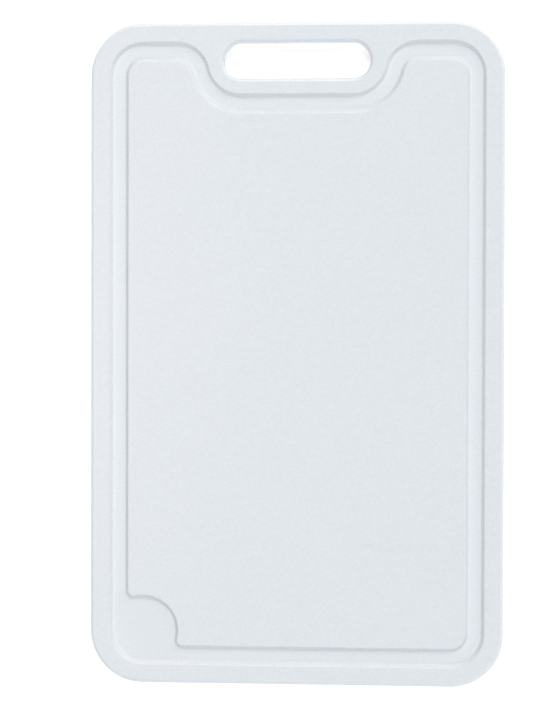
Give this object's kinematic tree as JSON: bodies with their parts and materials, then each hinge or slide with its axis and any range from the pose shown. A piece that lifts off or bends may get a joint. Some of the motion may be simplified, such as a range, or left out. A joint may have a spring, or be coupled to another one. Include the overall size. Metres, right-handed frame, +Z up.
{
  "type": "cutting board",
  "caption": "Rectangular moulded plastic cutting board with round corners, a hand slot, a juice groove that dips round the slot, and a round juice well in one corner.",
  "frame": {"origin": "centre of the underside, the face that the board rests on", "axes": "+Z up out of the cutting face; +Y along the board's length, towards the hand slot; +X to the right, with the juice well in the corner at -X and -Y"},
  "size_m": [0.25, 0.4, 0.01],
  "materials": {
    "white_polyethylene": "matte moulded polyethylene, white with a slightly cool tint and a very fine grain"
  },
  "bodies": {
    "root": {"board": "white_polyethylene"}
  },
  "joints": []
}
